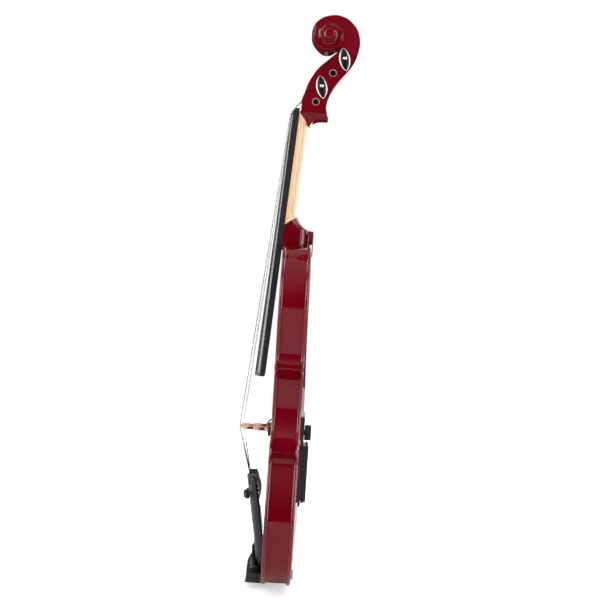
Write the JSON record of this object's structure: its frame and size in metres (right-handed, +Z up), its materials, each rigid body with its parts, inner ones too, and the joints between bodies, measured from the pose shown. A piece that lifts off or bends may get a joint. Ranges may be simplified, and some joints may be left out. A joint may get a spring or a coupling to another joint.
{
  "type": "electric violin",
  "caption": "Full-size electric violin: hollow lacquered body, friction pegs, tailpiece with fine tuners, chin rest, bridge pickup and a battery preamp in the back.",
  "frame": {"origin": "centre of the end button's flat outer face, at the bottom of the instrument", "axes": "+Z runs up the middle of the body to the scroll, +Y points to the back, -Y is the string side, +X points to the treble side"},
  "size_m": [0.212, 0.1, 0.5929],
  "materials": {
    "top_plate": "deep red gloss lacquer over wood",
    "back_plate": "deep red gloss lacquer over wood",
    "lower_rib": "deep red gloss lacquer over wood",
    "waist_rib_treble": "deep red gloss lacquer over wood",
    "waist_rib_bass": "deep red gloss lacquer over wood",
    "upper_rib_treble": "deep red gloss lacquer over wood",
    "upper_rib_bass": "deep red gloss lacquer over wood",
    "neck_block": "bare softwood",
    "end_block": "bare softwood",
    "corner_block_lower_treble": "bare softwood",
    "corner_block_lower_bass": "bare softwood",
    "corner_block_upper_treble": "bare softwood",
    "corner_block_upper_bass": "bare softwood",
    "neck_heel": "deep red gloss lacquer over wood",
    "neck_shaft": "satin clear finish",
    "scroll_and_pegbox": "deep red gloss lacquer over wood",
    "fingerboard": "black polished hardwood",
    "nut": "black polished hardwood",
    "saddle": "black polished hardwood",
    "end_button": "black polished hardwood",
    "tailgut": "black jacket",
    "tailpiece": "black moulded plastic",
    "tuner_pivot_rod": "plated",
    "bridge": "satin clear finish",
    "pickup_bar": "black moulded plastic, fine grain",
    "pickup_lead": "black jacket",
    "chin_rest": "black moulded plastic",
    "chin_rest_bracket": "plated",
    "chin_rest_foot": "plated",
    "clamp_barrel_treble": "plated",
    "clamp_barrel_bass": "plated",
    "control_plate": "black moulded plastic, fine grain",
    "volume_knob": "black moulded plastic, fine grain",
    "bass_bar": "bare softwood",
    "preamp_board": "green circuit board",
    "battery": "plain wrapped can",
    "battery_door": "black moulded plastic, fine grain",
    "output_jack": "drawn and brushed",
    "jack_nut": "plated",
    "jack_lead": "black jacket",
    "tuner_lever_g": "plated",
    "tuner_shank_g": "drawn and brushed",
    "tuner_head_g": "black moulded plastic",
    "string_g": "drawn and brushed",
    "peg_g": "black polished hardwood",
    "tuner_lever_d": "plated",
    "tuner_shank_d": "drawn and brushed",
    "tuner_head_d": "black moulded plastic",
    "string_d": "drawn and brushed",
    "peg_d": "black polished hardwood",
    "tuner_lever_a": "plated",
    "tuner_shank_a": "drawn and brushed",
    "tuner_head_a": "black moulded plastic",
    "string_a": "drawn and brushed",
    "peg_a": "black polished hardwood",
    "tuner_lever_e": "plated",
    "tuner_shank_e": "drawn and brushed",
    "tuner_head_e": "black moulded plastic",
    "string_e": "drawn and brushed",
    "peg_e": "black polished hardwood"
  },
  "bodies": {
    "instrument": {"top_plate": "top_plate", "back_plate": "back_plate", "lower_rib": "lower_rib", "waist_rib_treble": "waist_rib_treble", "waist_rib_bass": "waist_rib_bass", "upper_rib_treble": "upper_rib_treble", "upper_rib_bass": "upper_rib_bass", "neck_block": "neck_block", "end_block": "end_block", "corner_block_lower_treble": "corner_block_lower_treble", "corner_block_lower_bass": "corner_block_lower_bass", "corner_block_upper_treble": "corner_block_upper_treble", "corner_block_upper_bass": "corner_block_upper_bass", "neck_heel": "neck_heel", "neck_shaft": "neck_shaft", "scroll_and_pegbox": "scroll_and_pegbox", "fingerboard": "fingerboard", "nut": "nut", "saddle": "saddle", "end_button": "end_button", "tailgut": "tailgut", "tailpiece": "tailpiece", "tuner_pivot_rod": "tuner_pivot_rod", "bridge": "bridge", "pickup_bar": "pickup_bar", "pickup_lead": "pickup_lead", "chin_rest": "chin_rest", "chin_rest_bracket": "chin_rest_bracket", "control_plate": "control_plate", "bass_bar": "bass_bar", "preamp_board": "preamp_board", "battery": "battery", "output_jack": "output_jack", "jack_nut": "jack_nut", "jack_lead": "jack_lead", "string_g": "string_g", "string_d": "string_d", "string_a": "string_a", "string_e": "string_e"},
    "peg_g": {"peg_g": "peg_g"},
    "peg_d": {"peg_d": "peg_d"},
    "peg_a": {"peg_a": "peg_a"},
    "peg_e": {"peg_e": "peg_e"},
    "tuner_head_g": {"tuner_head_g": "tuner_head_g"},
    "tuner_head_d": {"tuner_head_d": "tuner_head_d"},
    "tuner_head_a": {"tuner_head_a": "tuner_head_a"},
    "tuner_head_e": {"tuner_head_e": "tuner_head_e"},
    "tuner_shank_g": {"tuner_shank_g": "tuner_shank_g"},
    "tuner_shank_d": {"tuner_shank_d": "tuner_shank_d"},
    "tuner_shank_a": {"tuner_shank_a": "tuner_shank_a"},
    "tuner_shank_e": {"tuner_shank_e": "tuner_shank_e"},
    "tuner_lever_g": {"tuner_lever_g": "tuner_lever_g"},
    "tuner_lever_d": {"tuner_lever_d": "tuner_lever_d"},
    "tuner_lever_a": {"tuner_lever_a": "tuner_lever_a"},
    "tuner_lever_e": {"tuner_lever_e": "tuner_lever_e"},
    "volume_knob": {"volume_knob": "volume_knob"},
    "battery_door": {"battery_door": "battery_door"},
    "clamp_barrel_treble": {"clamp_barrel_treble": "clamp_barrel_treble"},
    "clamp_barrel_bass": {"clamp_barrel_bass": "clamp_barrel_bass"},
    "chin_rest_foot": {"chin_rest_foot": "chin_rest_foot"}
  },
  "joints": [
    {"name": "peg_g_turn", "type": "hinge", "parent": "instrument", "child": "peg_g", "pos_m": [0, 0.00916, 0.49916], "axis": [1, 0, 0], "continuous": true},
    {"name": "peg_d_turn", "type": "hinge", "parent": "instrument", "child": "peg_d", "pos_m": [0, 0.02496, 0.53008], "axis": [1, 0, 0], "continuous": true},
    {"name": "peg_a_turn", "type": "hinge", "parent": "instrument", "child": "peg_a", "pos_m": [0, 0.03545, 0.53975], "axis": [1, 0, 0], "continuous": true},
    {"name": "peg_e_turn", "type": "hinge", "parent": "instrument", "child": "peg_e", "pos_m": [0, 0.014, 0.51025], "axis": [1, 0, 0], "continuous": true},
    {"name": "tuner_g_advance", "type": "slide", "parent": "instrument", "child": "tuner_shank_g", "axis": [0, 0.9862, 0.1657], "range_m": [-0.0014, 0.0006]},
    {"name": "tuner_g_turn", "type": "hinge", "parent": "tuner_shank_g", "child": "tuner_head_g", "pos_m": [-0.0144, -0.024, 0.0917], "axis": [0, 0.9862, 0.1657], "range_deg": [-1012, 436]},
    {"name": "tuner_g_lever", "type": "hinge", "parent": "instrument", "child": "tuner_lever_g", "pos_m": [-0.0144, -0.0285, 0.107], "axis": [1, 0, 0], "range_deg": [-5.2, 2.3]},
    {"name": "tuner_d_advance", "type": "slide", "parent": "instrument", "child": "tuner_shank_d", "axis": [0, 0.9862, 0.1657], "range_m": [-0.0014, 0.0006]},
    {"name": "tuner_d_turn", "type": "hinge", "parent": "tuner_shank_d", "child": "tuner_head_d", "pos_m": [-0.0048, -0.024, 0.0917], "axis": [0, 0.9862, 0.1657], "range_deg": [-1012, 436]},
    {"name": "tuner_d_lever", "type": "hinge", "parent": "instrument", "child": "tuner_lever_d", "pos_m": [-0.0048, -0.0285, 0.107], "axis": [1, 0, 0], "range_deg": [-5.2, 2.3]},
    {"name": "tuner_a_advance", "type": "slide", "parent": "instrument", "child": "tuner_shank_a", "axis": [0, 0.9862, 0.1657], "range_m": [-0.0014, 0.0006]},
    {"name": "tuner_a_turn", "type": "hinge", "parent": "tuner_shank_a", "child": "tuner_head_a", "pos_m": [0.0048, -0.024, 0.0917], "axis": [0, 0.9862, 0.1657], "range_deg": [-1012, 436]},
    {"name": "tuner_a_lever", "type": "hinge", "parent": "instrument", "child": "tuner_lever_a", "pos_m": [0.0048, -0.0285, 0.107], "axis": [1, 0, 0], "range_deg": [-5.2, 2.3]},
    {"name": "tuner_e_advance", "type": "slide", "parent": "instrument", "child": "tuner_shank_e", "axis": [0, 0.9862, 0.1657], "range_m": [-0.0014, 0.0006]},
    {"name": "tuner_e_turn", "type": "hinge", "parent": "tuner_shank_e", "child": "tuner_head_e", "pos_m": [0.0144, -0.024, 0.0917], "axis": [0, 0.9862, 0.1657], "range_deg": [-1012, 436]},
    {"name": "tuner_e_lever", "type": "hinge", "parent": "instrument", "child": "tuner_lever_e", "pos_m": [0.0144, -0.0285, 0.107], "axis": [1, 0, 0], "range_deg": [-5.2, 2.3]},
    {"name": "volume_turn", "type": "hinge", "parent": "instrument", "child": "volume_knob", "pos_m": [0, 0.019, 0.1566], "axis": [0, 1, 0], "range_deg": [-150, 150]},
    {"name": "battery_door_swing", "type": "hinge", "parent": "instrument", "child": "battery_door", "pos_m": [0, 0.021, 0.0885], "axis": [-1, 0, 0], "range_deg": [0, 100]},
    {"name": "clamp_foot_slide", "type": "slide", "parent": "instrument", "child": "chin_rest_foot", "axis": [0, 1, 0], "range_m": [0, 0.0028]},
    {"name": "clamp_treble_turn", "type": "hinge", "parent": "instrument", "child": "clamp_barrel_treble", "pos_m": [-0.022, 0, 0.00055], "axis": [0, 1, 0], "range_deg": [0, 725]},
    {"name": "clamp_bass_turn", "type": "hinge", "parent": "instrument", "child": "clamp_barrel_bass", "pos_m": [-0.038, 0, 0.00375], "axis": [0, 1, 0], "range_deg": [0, 725]}
  ],
  "couplings": [
    {"joint": "tuner_g_turn", "follows": "tuner_g_advance", "rad_per_m": 12566},
    {"joint": "tuner_g_lever", "follows": "tuner_g_advance", "rad_per_m": 63.155},
    {"joint": "tuner_d_turn", "follows": "tuner_d_advance", "rad_per_m": 12566},
    {"joint": "tuner_d_lever", "follows": "tuner_d_advance", "rad_per_m": 63.155},
    {"joint": "tuner_a_turn", "follows": "tuner_a_advance", "rad_per_m": 12566},
    {"joint": "tuner_a_lever", "follows": "tuner_a_advance", "rad_per_m": 63.155},
    {"joint": "tuner_e_turn", "follows": "tuner_e_advance", "rad_per_m": 12566},
    {"joint": "tuner_e_lever", "follows": "tuner_e_advance", "rad_per_m": 63.155},
    {"joint": "clamp_treble_turn", "follows": "clamp_foot_slide", "rad_per_m": 4488},
    {"joint": "clamp_bass_turn", "follows": "clamp_foot_slide", "rad_per_m": 4488}
  ]
}
